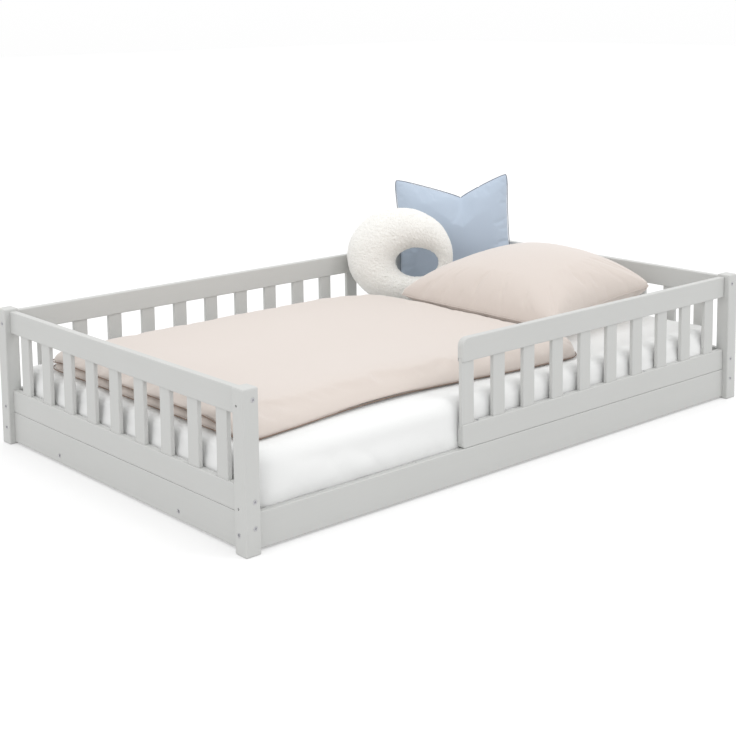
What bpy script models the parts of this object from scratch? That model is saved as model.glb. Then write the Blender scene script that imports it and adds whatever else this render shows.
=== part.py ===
"""Low wooden floor bed for a toddler, with slatted galleries, a slatted base and its bedding.

X runs from the foot end (-X) to the head end (+X), -Y is the entry side, Z is up.
The origin is on the floor at the middle of the bed. Metres.
"""

import math

import bmesh
import bpy
from mathutils import Matrix, Vector

# Overall sizes, over the posts
LENGTH = 2.10
WIDTH = 1.30
POST_HEIGHT = 0.435

# Posts, rails and boards
POST = 0.048
RAIL_T = 0.022
RAIL_H = 0.070
BOARD_H = 0.0965
RECESS = 0.019  # from a post's outer face back to a rail's or board's outer face
FLOOR_GAP = 0.0065  # under the boards
TOP_SETDOWN = 0.008  # from the post's top down to the top rails
POST_ROUND = 0.004
EDGE_ROUND = 0.003
ROUND_STEPS = 2
FIT = 0.0003  # between two pieces that touch

# Balusters, housed in mortises in the rails above and below them
BALUSTER_W = 0.050
BALUSTER_T = 0.014
HOUSING = 0.012
END_GALLERY_COUNT = 9
END_GALLERY_GAP = 0.055  # from a post to the first baluster
BACK_GALLERY_COUNT = 15
BACK_GALLERY_GAP = 0.071
GUARD_COUNT = 10
GUARD_GAP = 0.055
ENTRY = 0.736  # clear opening between the foot post and the guard's free end
GUARD_TOP_RADIUS = 0.026
GUARD_LOW_RADIUS = 0.010

# One-piece screws with a hexagon socket
SCREW_R = 0.0033
HEAD_R = 0.0065
HEAD_T = 0.0040
SOCKET_FLAT = 0.0034  # half the width across flats
SOCKET_DEPTH = 0.0030
GRIP = 0.040  # length of thread in the piece that is pulled up
GUARD_GRIP = 0.024
ROUND_SIDES = 12
SIDE_RISE = (0.048, 0.019, 0.031)  # above the bottom of board, lower rail and top rail
END_RISE = (0.066, 0.038, 0.047)
GUARD_SCREW_BAYS = (0, 6)
GUARD_SCREW_STEP = 0.020  # from the baluster beside it
PILOT_AT = 0.560  # from the foot post to the pilot hole in the front board's top
PILOT_R = 0.0025
PILOT_DEPTH = 0.012

# Slatted base
BEARER_T = 0.022
BEARER_H = 0.030
BEARER_SETBACK = 0.004  # between the bearer's end and the post
BEAM_T = 0.026
BEAM_H = 0.044
BEAM_OFFSET = 0.320  # of each beam from the bed's middle line
SLAT_SUPPORT = 0.052  # height of the bearers' and beams' tops
SLAT_COUNT = 14
SLAT_W = 0.070
SLAT_T = 0.016
SLAT_SIDE_GAP = 0.006
SLAT_END_GAP = 0.012
STRAP_W = 0.025
STRAP_T = 0.0015
STRAP_BITE = 0.0004
STRAP_OFFSET = 0.450
PAD_L = 0.070

# Bedding
MATTRESS_GAP = 0.008  # to the rails all round
MATTRESS_TOP = 0.250
MATTRESS_CORNER = 0.045
MATTRESS_EDGE = 0.028
DUVET_FOOT_GAP = 0.036  # from the mattress's foot edge
DUVET_FRONT_GAP = 0.035  # from the mattress's front edge
DUVET_HEAD_GAP = 0.642
DUVET_BACK_GAP = 0.077
DUVET_T = 0.066
DUVET_EDGE = 0.026
DUVET_CORNERS = (0.060, 0.090, 0.260, 0.080)  # front foot, front head, back head, back foot
PILLOW_L = 0.61
PILLOW_FRONT_GAP = 0.156  # from the mattress's front edge
PILLOW_BACK_GAP = 0.276
PILLOW_CROWN = 0.135
PILLOW_BELLY = 0.110
PILLOW_FOOT_RISE = 0.070  # of the seam above the mattress, at the foot side
PILLOW_HEAD_RISE = 0.120
PILLOW_HEAD_GAP = 0.030  # to the end of the mattress
PILLOW_TAPER = 0.12  # how much narrower it is at the head side, as a share
PILLOW_TUCK = 0.050  # how far its front corner at the head side draws in
PILLOW_PULL = 0.12  # how far the sides draw in between the corners, as a share
FULLNESS = 0.42  # lower is fuller
FACING = math.radians(40.2)  # how far the two upright cushions turn from -Y towards -X
LEAN = math.radians(6.0)
RING_HEAD_GAP = 0.534  # from the ring's middle to the rails' inner face at the head
RING_BACK_GAP = 0.175
RING_HALF_W = 0.199
RING_HALF_H = 0.180
RING_DEPTH = 0.94  # of its tube, as a share of the tube's width
RING_HOLE = Vector((0.0635, -0.027))  # middle of the hole, from the ring's own middle
RING_HOLE_HALF_W = 0.080
RING_HOLE_HALF_H = 0.055
CUSHION_HEAD_GAP = 0.239
CUSHION_BACK_GAP = 0.166
CUSHION_HALF_W = 0.222
CUSHION_HALF_H = 0.2215
CUSHION_ROLL = math.radians(2.5)  # its right side stands higher
CUSHION_CROWN = 0.058
CUSHION_DENT = 0.088
CUSHION_DENT_AT = 0.15  # across the cushion, from -1 to 1
CUSHION_SIDE_PULL = 0.04  # how far each side draws in between the corners, as a share
CUSHION_FOOT_PULL = 0.05

# Levels that follow from the sizes above
BOARD_TOP = FLOOR_GAP + BOARD_H
LOW_RAIL = BOARD_TOP + FIT
LOW_RAIL_TOP = LOW_RAIL + RAIL_H
TOP_RAIL_TOP = POST_HEIGHT - TOP_SETDOWN
TOP_RAIL = TOP_RAIL_TOP - RAIL_H
BED_LEVEL = MATTRESS_TOP + FIT
SLAT_TOP = SLAT_SUPPORT + FIT + SLAT_T
MEMBER_BOTTOMS = (FLOOR_GAP, LOW_RAIL, TOP_RAIL)
SIDE_LEVELS = tuple(base + rise for base, rise in zip(MEMBER_BOTTOMS, SIDE_RISE))
END_LEVELS = tuple(base + rise for base, rise in zip(MEMBER_BOTTOMS, END_RISE))
MIDLINE = RECESS + RAIL_T / 2  # from the outside to the middle of a rail
SIDE_Y = WIDTH / 2 - MIDLINE
END_X = LENGTH / 2 - MIDLINE
INSIDE_X = LENGTH / 2 - POST - FIT  # where a rail along X meets its post
INSIDE_Y = WIDTH / 2 - POST - FIT
GUARD_END = -LENGTH / 2 + POST + ENTRY
MEMBERS = ("board", "lower_rail", "top_rail")
EMPTY_SITES = (("front_foot", "side", "lower_rail"), ("front_foot", "side", "top_rail"))
RAIL_FACE_X = LENGTH / 2 - RECESS - RAIL_T  # inner faces of the rails and boards
RAIL_FACE_Y = WIDTH / 2 - RECESS - RAIL_T
MATTRESS_X = RAIL_FACE_X - MATTRESS_GAP
MATTRESS_Y = RAIL_FACE_Y - MATTRESS_GAP


def material(name, colour, roughness, metallic=0.0):
    made = bpy.data.materials.new(name)
    made.use_nodes = True
    shader = made.node_tree.nodes["Principled BSDF"]
    shader.inputs["Base Color"].default_value = (*colour, 1.0)
    shader.inputs["Roughness"].default_value = roughness
    shader.inputs["Metallic"].default_value = metallic
    return made


def node(name, mesh_data, finish, place=(0, 0, 0)):
    """A new object from (points, faces), with its faces pointing out."""
    mesh = bpy.data.meshes.new(name)
    mesh.from_pydata([tuple(p) for p in mesh_data[0]], [], mesh_data[1])
    shape = bmesh.new()
    shape.from_mesh(mesh)
    bmesh.ops.recalc_face_normals(shape, faces=shape.faces)
    if shape.calc_volume(signed=True) < 0:
        bmesh.ops.reverse_faces(shape, faces=shape.faces)
    shape.to_mesh(mesh)
    shape.free()
    obj = bpy.data.objects.new(name, mesh)
    obj.location = place
    bpy.context.scene.collection.objects.link(obj)
    if finish:
        mesh.materials.append(finish)
    return obj


def helper(name, parts):
    """A hidden object that joins several (points, faces), for a Boolean."""
    points, faces = [], []
    for part_points, part_faces in parts:
        faces += [[i + len(points) for i in face] for face in part_faces]
        points += part_points
    obj = node(name, (points, faces), None)
    obj.hide_render = True
    obj.display_type = "WIRE"
    return obj


def combine(obj, operation, parts):
    modifier = obj.modifiers.new(operation.lower(), "BOOLEAN")
    modifier.operation = operation
    modifier.object = helper(f"{obj.name}_{operation.lower()}", parts)


def rounded(obj, radius):
    modifier = obj.modifiers.new("rounded_edges", "BEVEL")
    modifier.width = radius
    modifier.segments = ROUND_STEPS
    modifier.limit_method = "ANGLE"


def arc(centre, radius, start, steps):
    """Points on a quarter circle, anticlockwise from the angle start, in degrees."""
    angles = [math.radians(start + 90 * i / steps) for i in range(steps + 1)]
    return [(centre[0] + radius * math.cos(a), centre[1] + radius * math.sin(a)) for a in angles]


def rounded_rectangle(width, height, radii, steps):
    """Outline around the origin; radii run from the lower left corner anticlockwise."""
    signs = ((-1, -1), (1, -1), (1, 1), (-1, 1))
    points = []
    for turn, ((sx, sy), radius) in enumerate(zip(signs, radii)):
        centre = (sx * (width / 2 - radius), sy * (height / 2 - radius))
        points += arc(centre, radius, 180 + 90 * turn, steps)
    return points


def extrusion(outline, axis, start, end, middle=(0, 0)):
    """(points, faces) of an outline drawn across an axis: YZ for X, XZ for Y, XY for Z."""
    points = []
    for level in (start, end):
        for a, b in outline:
            point = [a + middle[0], b + middle[1]]
            point.insert(axis, level)
            points.append(tuple(point))
    count = len(outline)
    faces = [list(range(count)), list(range(count, 2 * count))]
    faces += [[i, (i + 1) % count, (i + 1) % count + count, i + count] for i in range(count)]
    return points, faces


def bar(axis, start, end, middle, size):
    """A straight bar whose long edges are rounded."""
    outline = rounded_rectangle(*size, [EDGE_ROUND] * 4, ROUND_STEPS)
    return extrusion(outline, axis, start, end, middle)


def box(low, high):
    outline = [(low[0], low[1]), (high[0], low[1]), (high[0], high[1]), (low[0], high[1])]
    return extrusion(outline, 2, low[2], high[2])


def turned(rings, place, direction):
    """A turned shape: rings are (radius, depth) or ("hex", half width, depth), from its face."""
    turn = Vector(direction).to_track_quat("Z", "Y").to_matrix()
    points = []
    for *shape, depth in rings:
        for i in range(ROUND_SIDES):
            angle = 2 * math.pi * i / ROUND_SIDES
            radius = shape[-1]
            if shape[0] == "hex":
                radius /= math.cos((angle + math.pi / 6) % (math.pi / 3) - math.pi / 6)
            ring_point = Vector((radius * math.cos(angle), radius * math.sin(angle), depth))
            points.append(tuple(turn @ ring_point + Vector(place)))
    faces = [list(range(ROUND_SIDES)), list(range(len(points) - ROUND_SIDES, len(points)))]
    for ring in range(len(rings) - 1):
        for i in range(ROUND_SIDES):
            a = ring * ROUND_SIDES + i
            b = ring * ROUND_SIDES + (i + 1) % ROUND_SIDES
            faces.append([a, b, b + ROUND_SIDES, a + ROUND_SIDES])
    return points, faces


def screw(length):
    return [
        ("hex", SOCKET_FLAT, SOCKET_DEPTH),
        ("hex", SOCKET_FLAT, 0.0),
        (HEAD_R, 0.0),
        (HEAD_R, HEAD_T),
        (SCREW_R, HEAD_T),
        (SCREW_R, length - SCREW_R),
        (SCREW_R / 2, length),
    ]


def screw_hole(length):
    """The stepped hole that a screw of this length fits."""
    return [
        (HEAD_R + FIT, -HEAD_T / 2),
        (HEAD_R + FIT, HEAD_T + FIT),
        (SCREW_R + FIT, HEAD_T + FIT),
        (SCREW_R + FIT, length + FIT),
    ]


def plain_hole(radius, length):
    return [(radius, -HEAD_T / 2), (radius, length)]


def spread(first, last, count):
    """Centres of count balusters, the outer two against first and last."""
    first, last = first + BALUSTER_W / 2, last - BALUSTER_W / 2
    return [first + (last - first) * i / (count - 1) for i in range(count)]


def balusters_at(axis, centres, line):
    """One upright for each centre, reaching HOUSING into the rails below and above it."""
    size = (BALUSTER_W, BALUSTER_T) if axis == 0 else (BALUSTER_T, BALUSTER_W)
    made = []
    for centre in centres:
        middle = (centre, line) if axis == 0 else (line, centre)
        made.append(bar(2, LOW_RAIL_TOP - HOUSING, TOP_RAIL + HOUSING, middle, size))
    return made


def housings(axis, centres, line, low, high):
    """Cutters for the mortises that the balusters stand in, between two heights."""
    half = (BALUSTER_W / 2 + FIT, BALUSTER_T / 2 + FIT)
    if axis == 1:
        half = half[::-1]
    cutters = []
    for centre in centres:
        middle = (centre, line) if axis == 0 else (line, centre)
        cutters.append(
            box(
                (middle[0] - half[0], middle[1] - half[1], low),
                (middle[0] + half[0], middle[1] + half[1], high),
            )
        )
    return cutters


LOWER_HOUSING = (LOW_RAIL_TOP - HOUSING - FIT, LOW_RAIL_TOP + HOUSING)
UPPER_HOUSING = (TOP_RAIL - HOUSING, TOP_RAIL + HOUSING + FIT)


def corner_screws():
    """(post name, way, member, head place, direction) of each screw site at the four corners."""
    sites = []
    for end, sx in (("foot", -1), ("head", 1)):
        for side, sy in (("front", -1), ("back", 1)):
            post = f"{side}_{end}"
            for member, level in zip(MEMBERS, SIDE_LEVELS):
                place = (sx * LENGTH / 2, sy * SIDE_Y, level)
                sites.append((post, "side", member, place, (-sx, 0, 0)))
            for member, level in zip(MEMBERS, END_LEVELS):
                place = (sx * END_X, sy * WIDTH / 2, level)
                sites.append((post, "end", member, place, (0, -sy, 0)))
    return sites


def end_holes(axis, line, level, ends):
    """Blind holes for the corner screws in the ends of a rail or board along X (0) or Y (1)."""
    reach = LENGTH / 2 if axis == 0 else WIDTH / 2
    holes = []
    for sign in ends:
        place = [0, 0, level]
        place[axis] = sign * reach
        place[1 - axis] = line
        direction = [0, 0, 0]
        direction[axis] = -sign
        holes.append(turned(screw_hole(POST + GRIP), place, direction))
    return holes


def make_posts(finish):
    for end, sx in (("foot", -1), ("head", 1)):
        for side, sy in (("front", -1), ("back", 1)):
            half = POST / 2
            place = (sx * (LENGTH / 2 - half), sy * (WIDTH / 2 - half), 0)
            post = node(
                f"post_{side}_{end}",
                box((-half, -half, 0), (half, half, POST_HEIGHT)),
                finish,
                place,
            )
            rounded(post, POST_ROUND)
            holes = []
            for at, way, member, head, direction in corner_screws():
                if (at, way, member) in EMPTY_SITES:
                    holes.append(turned(plain_hole(SCREW_R + FIT, POST + FIT), head, direction))
                elif at == f"{side}_{end}":
                    holes.append(turned(screw_hole(POST + GRIP), head, direction))
            # The helper stands at the origin, so the holes are already in their place.
            combine(post, "DIFFERENCE", holes)


def guard_screw_places():
    centres = guard_centres()
    step = BALUSTER_W / 2 + GUARD_SCREW_STEP
    return [(centres[bay] + step, -SIDE_Y, LOW_RAIL_TOP) for bay in GUARD_SCREW_BAYS]


def beam_screw_places(sx):
    level = SLAT_SUPPORT - BEAM_H / 2
    return [(sx * (LENGTH / 2 - RECESS), sy * BEAM_OFFSET, level) for sy in (-1, 1)]


def make_boards(finish):
    """The four boards on edge that close the bed at the bottom."""
    section = (RAIL_T, BOARD_H)
    level = FLOOR_GAP + BOARD_H / 2
    guard_cut = screw_hole(RAIL_H + FIT + GUARD_GRIP)
    for name, sign in (("board_front", -1), ("board_back", 1)):
        middle = (sign * SIDE_Y, level)
        board = node(name, bar(0, -INSIDE_X, INSIDE_X, middle, section), finish)
        cuts = end_holes(0, sign * SIDE_Y, SIDE_LEVELS[0], (-1, 1))
        if sign < 0:
            cuts += [turned(guard_cut, place, (0, 0, -1)) for place in guard_screw_places()]
            pilot_place = (PILOT_AT + POST - LENGTH / 2, -SIDE_Y, BOARD_TOP)
            cuts.append(turned(plain_hole(PILOT_R, PILOT_DEPTH), pilot_place, (0, 0, -1)))
        combine(board, "DIFFERENCE", cuts)
    for name, sign in (("board_foot", -1), ("board_head", 1)):
        middle = (sign * END_X, level)
        board = node(name, bar(1, -INSIDE_Y, INSIDE_Y, middle, section), finish)
        cuts = end_holes(1, sign * END_X, END_LEVELS[0], (-1, 1))
        beam_cut = screw_hole(RAIL_T + GRIP)
        cuts += [turned(beam_cut, place, (-sign, 0, 0)) for place in beam_screw_places(sign)]
        combine(board, "DIFFERENCE", cuts)


def end_gallery_centres():
    outer = WIDTH / 2 - POST - END_GALLERY_GAP
    return spread(-outer, outer, END_GALLERY_COUNT)


def back_gallery_centres():
    outer = LENGTH / 2 - POST - BACK_GALLERY_GAP
    return spread(-outer, outer, BACK_GALLERY_COUNT)


def make_foot_gallery(finish):
    """Two rails and the balusters housed in them, each its own piece."""
    middle_x = -END_X
    centres = end_gallery_centres()
    rails = (
        ("foot_rail_lower", LOW_RAIL, LOWER_HOUSING, END_LEVELS[1]),
        ("foot_rail_top", TOP_RAIL, UPPER_HOUSING, END_LEVELS[2]),
    )
    for name, bottom, pocket, level in rails:
        middle = (middle_x, bottom + RAIL_H / 2)
        rail = node(name, bar(1, -INSIDE_Y, INSIDE_Y, middle, (RAIL_T, RAIL_H)), finish)
        cuts = housings(1, centres, middle_x, *pocket)
        combine(rail, "DIFFERENCE", cuts + end_holes(1, middle_x, level, (-1, 1)))
    for count, shape in enumerate(balusters_at(1, centres, middle_x), 1):
        node(f"foot_baluster_{count:02d}", shape, finish)


def make_glued_gallery(name, axis, line, reach, centres, levels, finish):
    """A gallery delivered glued up, as one piece: rails and balusters together."""
    section = (RAIL_T, RAIL_H)
    upper = bar(axis, -reach, reach, (line, TOP_RAIL + RAIL_H / 2), section)
    lower = bar(axis, -reach, reach, (line, LOW_RAIL + RAIL_H / 2), section)
    gallery = node(name, upper, finish)
    combine(gallery, "UNION", balusters_at(axis, centres, line))
    combine(gallery, "UNION", [lower])
    cuts = end_holes(axis, line, levels[1], (-1, 1)) + end_holes(axis, line, levels[2], (-1, 1))
    combine(gallery, "DIFFERENCE", cuts)


def make_head_gallery(finish):
    centres = end_gallery_centres()
    make_glued_gallery("head_gallery", 1, END_X, INSIDE_Y, centres, END_LEVELS, finish)


def make_back_gallery(finish):
    centres = back_gallery_centres()
    make_glued_gallery("back_gallery", 0, SIDE_Y, INSIDE_X, centres, SIDE_LEVELS, finish)


def guard_centres():
    return spread(GUARD_END, LENGTH / 2 - POST - GUARD_GAP, GUARD_COUNT)


def guard_rail_outline(bottom, top, low_radius, top_radius):
    """Side view of a guard rail: its free end has rounded corners."""
    points = [(INSIDE_X, bottom), (INSIDE_X, top)]
    if top_radius:
        points += arc((GUARD_END + top_radius, top - top_radius), top_radius, 90, 5)
    else:
        points.append((GUARD_END, top))
    if low_radius:
        points += arc((GUARD_END + low_radius, bottom + low_radius), low_radius, 180, 3)
    else:
        points.append((GUARD_END, bottom))
    return points


def make_guard(finish):
    """The guard on the entry side, which stops short and leaves the way in."""
    line = -SIDE_Y
    centres = guard_centres()
    rails = (
        ("guard_rail_lower", LOW_RAIL, GUARD_LOW_RADIUS, 0, LOWER_HOUSING, SIDE_LEVELS[1]),
        ("guard_rail_top", TOP_RAIL, 0, GUARD_TOP_RADIUS, UPPER_HOUSING, SIDE_LEVELS[2]),
    )
    guard_cut = screw_hole(RAIL_H + FIT + GUARD_GRIP)
    for name, bottom, low_radius, top_radius, pocket, level in rails:
        outline = guard_rail_outline(bottom, bottom + RAIL_H, low_radius, top_radius)
        rail = node(name, extrusion(outline, 1, line - RAIL_T / 2, line + RAIL_T / 2), finish)
        rounded(rail, EDGE_ROUND)
        cuts = housings(0, centres, line, *pocket) + end_holes(0, line, level, (1,))
        if bottom == LOW_RAIL:
            cuts += [turned(guard_cut, place, (0, 0, -1)) for place in guard_screw_places()]
        combine(rail, "DIFFERENCE", cuts)
    for count, shape in enumerate(balusters_at(0, centres, line), 1):
        node(f"guard_baluster_{count:02d}", shape, finish)


def make_screws(finish):
    """Screws of the foot end and of the entry side; the empty sites take the guard reversed."""
    fitted = {
        ("front_foot", "end"): MEMBERS,
        ("front_foot", "side"): MEMBERS[:1],
        ("back_foot", "side"): MEMBERS,
        ("front_head", "end"): MEMBERS,
    }
    for post, way, member, place, direction in corner_screws():
        if member in fitted.get((post, way), ()):
            shape = turned(screw(POST + GRIP), place, direction)
            node(f"screw_{post}_{way}_{member}", shape, finish)
    for side, place in zip(("front", "back"), beam_screw_places(-1)):
        node(f"screw_foot_board_{side}", turned(screw(RAIL_T + GRIP), place, (1, 0, 0)), finish)
    for end, place in zip(("free_end", "head_end"), guard_screw_places()):
        shape = turned(screw(RAIL_H + FIT + GUARD_GRIP), place, (0, 0, -1))
        node(f"screw_guard_{end}", shape, finish)


def make_base(timber):
    """Bearers on the side boards, two beams with pads under them, and the slats on top.

    The slats are stapled to two webbing straps, so they are one piece, the slat roll.
    """
    bearer_y = WIDTH / 2 - RECESS - RAIL_T - FIT - BEARER_T / 2
    bearer_x = INSIDE_X - BEARER_SETBACK
    for name, sign in (("bearer_front", -1), ("bearer_back", 1)):
        middle = (sign * bearer_y, SLAT_SUPPORT - BEARER_H / 2)
        node(name, bar(0, -bearer_x, bearer_x, middle, (BEARER_T, BEARER_H)), timber)
    beam_x = LENGTH / 2 - RECESS - RAIL_T - FIT
    beam_bottom = SLAT_SUPPORT - BEAM_H
    for name, sign in (("front", -1), ("back", 1)):
        middle = (sign * BEAM_OFFSET, SLAT_SUPPORT - BEAM_H / 2)
        beam = node(f"beam_{name}", bar(0, -beam_x, beam_x, middle, (BEAM_T, BEAM_H)), timber)
        cuts = []
        for sx in (-1, 1):
            place = (sx * (LENGTH / 2 - RECESS), sign * BEAM_OFFSET, middle[1])
            cuts.append(turned(screw_hole(RAIL_T + GRIP), place, (-sx, 0, 0)))
        combine(beam, "DIFFERENCE", cuts)
        pad_low = (-PAD_L / 2, sign * BEAM_OFFSET - BEAM_T / 2, 0)
        pad_high = (PAD_L / 2, sign * BEAM_OFFSET + BEAM_T / 2, beam_bottom - FIT)
        node(f"beam_pad_{name}", box(pad_low, pad_high), timber)

    slat_y = WIDTH / 2 - RECESS - RAIL_T - SLAT_SIDE_GAP
    slat_x = LENGTH / 2 - POST - SLAT_END_GAP - SLAT_W / 2
    bottom = SLAT_SUPPORT + FIT
    slats = []
    for i in range(SLAT_COUNT):
        x = -slat_x + 2 * slat_x * i / (SLAT_COUNT - 1)
        slats.append(box((x - SLAT_W / 2, -slat_y, bottom), (x + SLAT_W / 2, slat_y, SLAT_TOP)))
    strap_x = slat_x + SLAT_W / 4
    straps = []
    for sign in (-1, 1):
        low = (-strap_x, sign * STRAP_OFFSET - STRAP_W / 2, SLAT_TOP - STRAP_BITE)
        high = (strap_x, sign * STRAP_OFFSET + STRAP_W / 2, SLAT_TOP - STRAP_BITE + STRAP_T)
        straps.append(box(low, high))
    roll = node("slat_roll", straps[0], timber)
    combine(roll, "UNION", slats)
    combine(roll, "UNION", straps[1:])


def slab(size, bottom, top, corners, edge, steps=3):
    """A slab around the Z axis with rounded corners in plan and rounded edges all round."""
    angles = [math.pi / 2 * i / steps for i in range(steps + 1)]
    lower = [(edge * (1 - math.sin(a)), bottom + edge * (1 - math.cos(a))) for a in angles]
    upper = [(inset, top + bottom - level) for inset, level in reversed(lower)]
    points, faces = [], []
    for inset, level in lower + upper:
        radii = [radius - inset for radius in corners]
        outline = rounded_rectangle(size[0] - 2 * inset, size[1] - 2 * inset, radii, steps)
        points += [(x, y, level) for x, y in outline]
    count = 4 * (steps + 1)
    rings = len(points) // count
    for ring in range(rings - 1):
        for i in range(count):
            a, b = ring * count + i, ring * count + (i + 1) % count
            faces.append([a, b, b + count, a + count])
    faces += [list(range(count)), list(range(len(points) - count, len(points)))]
    return points, faces


def pad(columns, rows, place_at, front_at, back_at):
    """A stuffed pad: a grid over u and v from -1 to 1, its two skins joined at the seam.

    place_at(u, v) is the point on the seam's own surface; front_at and back_at move it to a skin.
    """
    points, index = [], {}

    def corner(i, j, skin):
        rim = i in (0, columns) or j in (0, rows)
        key = (i, j, "rim" if rim else skin)
        if key not in index:
            u, v = 2 * i / columns - 1, 2 * j / rows - 1
            point = place_at(u, v)
            if not rim:
                point = (front_at if skin == "front" else back_at)(point, u, v)
            index[key] = len(points)
            points.append(point)
        return index[key]

    faces = []
    for skin in ("front", "back"):
        for i in range(columns):
            for j in range(rows):
                quad = [corner(i + a, j + b, skin) for a, b in ((0, 0), (1, 0), (1, 1), (0, 1))]
                faces.append(quad if skin == "front" else quad[::-1])
    return points, faces


def fullness(u, v):
    """How far a stuffed pad stands out between its seams, as a share: 1 in the middle."""
    return ((1 - u * u) * (1 - v * v)) ** FULLNESS


def make_pillow(finish):
    """Large pillow on the mattress, its head side propped up."""
    centre_x = MATTRESS_X - PILLOW_HEAD_GAP - PILLOW_L / 2
    centre_y = (PILLOW_FRONT_GAP - PILLOW_BACK_GAP) / 2
    half_w = MATTRESS_Y - (PILLOW_FRONT_GAP + PILLOW_BACK_GAP) / 2

    def seam(u, v):
        headwards = (u + 1) / 2
        x = centre_x + PILLOW_L / 2 * u * (1 - PILLOW_PULL * (1 - v * v) / 2)
        x -= PILLOW_TUCK * headwards * (1 - v) / 2
        y = centre_y + half_w * v * (1 - PILLOW_PULL * (1 - u * u) - PILLOW_TAPER * headwards)
        rise = PILLOW_FOOT_RISE + (PILLOW_HEAD_RISE - PILLOW_FOOT_RISE) * headwards
        return (x, y, MATTRESS_TOP + rise)

    def crown(point, u, v):
        return (point[0], point[1], point[2] + PILLOW_CROWN * fullness(u, v))

    def belly(point, u, v):
        return (point[0], point[1], max(BED_LEVEL, point[2] - PILLOW_BELLY * fullness(u, v)))

    node("pillow", pad(10, 12, seam, crown, belly), finish)


def upright(head_gap, back_gap, half_height):
    """Turns a shape drawn in XZ, facing -Y, to its stand on the mattress, leaning back."""
    foot = Matrix.Translation((RAIL_FACE_X - head_gap, RAIL_FACE_Y - back_gap, BED_LEVEL))
    lean = Matrix.Rotation(-LEAN, 4, "X")
    return foot @ Matrix.Rotation(-FACING, 4, "Z") @ lean @ Matrix.Translation((0, 0, half_height))


def rest_on_mattress(points, stand):
    placed = [stand @ Vector(point) for point in points]
    return [(p.x, p.y, max(p.z, BED_LEVEL)) for p in placed]


def make_dented_cushion(finish):
    """Square cushion that stands on its edge, with a dent chopped in its top."""

    def seam(u, v):
        x = CUSHION_HALF_W * u * (1 - CUSHION_SIDE_PULL * (1 - v * v))
        if v > 0:
            from_dent = abs(u - CUSHION_DENT_AT) / (1 + CUSHION_DENT_AT)
            return (x, 0, v * (CUSHION_HALF_H - v * CUSHION_DENT * (1 - from_dent)))
        return (x, 0, v * CUSHION_HALF_H * (1 - CUSHION_FOOT_PULL * (1 - u * u)))

    def front(point, u, v):
        return (point[0], -CUSHION_CROWN * fullness(u, v), point[2])

    def back(point, u, v):
        return (point[0], CUSHION_CROWN * fullness(u, v), point[2])

    points, faces = pad(10, 10, seam, front, back)
    lift = CUSHION_HALF_W * math.sin(CUSHION_ROLL)
    stand = upright(CUSHION_HEAD_GAP, CUSHION_BACK_GAP, CUSHION_HALF_H + lift)
    stand = stand @ Matrix.Rotation(-CUSHION_ROLL, 4, "Y")
    node("dented_cushion", (rest_on_mattress(points, stand), faces), finish)


def make_ring_cushion(finish, around=28, across=10):
    """Plush ring standing on the mattress; its hole is off its middle, so one side is fat."""
    points, faces = [], []
    for i in range(around):
        angle = 2 * math.pi * i / around
        outer = Vector((RING_HALF_W * math.cos(angle), RING_HALF_H * math.sin(angle)))
        inner = Vector((RING_HOLE_HALF_W * math.cos(angle), RING_HOLE_HALF_H * math.sin(angle)))
        inner += RING_HOLE
        middle = (outer + inner) / 2
        reach = (outer - inner) / 2
        for j in range(across):
            turn = 2 * math.pi * j / across
            spot = middle + reach * math.cos(turn)
            points.append((spot.x, RING_DEPTH * reach.length * math.sin(turn), spot.y))
            a, b = i * across + j, i * across + (j + 1) % across
            step = across if i < around - 1 else -across * (around - 1)
            faces.append([a, b, b + step, a + step])
    stand = upright(RING_HEAD_GAP, RING_BACK_GAP, RING_HALF_H)
    node("ring_cushion", (rest_on_mattress(points, stand), faces), finish)


def make_bedding(sheet, blush, plush, blue):
    bottom = SLAT_TOP - STRAP_BITE + STRAP_T + FIT
    size = (2 * MATTRESS_X, 2 * MATTRESS_Y)
    shape = slab(size, bottom, MATTRESS_TOP, [MATTRESS_CORNER] * 4, MATTRESS_EDGE)
    node("mattress", shape, sheet)
    size = (
        2 * MATTRESS_X - DUVET_FOOT_GAP - DUVET_HEAD_GAP,
        2 * MATTRESS_Y - DUVET_FRONT_GAP - DUVET_BACK_GAP,
    )
    place = ((DUVET_FOOT_GAP - DUVET_HEAD_GAP) / 2, (DUVET_FRONT_GAP - DUVET_BACK_GAP) / 2, 0)
    shape = slab(size, BED_LEVEL, MATTRESS_TOP + DUVET_T, DUVET_CORNERS, DUVET_EDGE, 4)
    node("duvet", shape, blush, place)
    make_pillow(blush)
    make_dented_cushion(blue)
    make_ring_cushion(plush)


for old in list(bpy.data.objects):
    bpy.data.objects.remove(old)

GREY_PAINT = material("grey_paint", (0.60, 0.60, 0.585), 0.42)
PINE = material("pine", (0.72, 0.53, 0.33), 0.60)
SCREW_STEEL = material("screw_steel", (0.66, 0.66, 0.67), 0.30, 1.0)
SHEET_COTTON = material("sheet_cotton", (0.86, 0.87, 0.86), 0.90)
BLUSH_COTTON = material("blush_cotton", (0.79, 0.72, 0.67), 0.90)
BLUE_COTTON = material("blue_cotton", (0.42, 0.49, 0.60), 0.90)
CREAM_PLUSH = material("cream_plush", (0.86, 0.86, 0.82), 1.00)

make_posts(GREY_PAINT)
make_boards(GREY_PAINT)
make_foot_gallery(GREY_PAINT)
make_guard(GREY_PAINT)
make_head_gallery(GREY_PAINT)
make_back_gallery(GREY_PAINT)
make_base(PINE)
make_screws(SCREW_STEEL)
make_bedding(SHEET_COTTON, BLUSH_COTTON, CREAM_PLUSH, BLUE_COTTON)
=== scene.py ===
"""Toddler floor bed: painted slatted galleries, a slatted base and its bedding.

X runs from the foot end to the head end, -Y is the entry side, Z is up. Metres.
"""

import math

import bmesh
import bpy
import numpy as np
from mathutils import Matrix, Vector, noise


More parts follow.
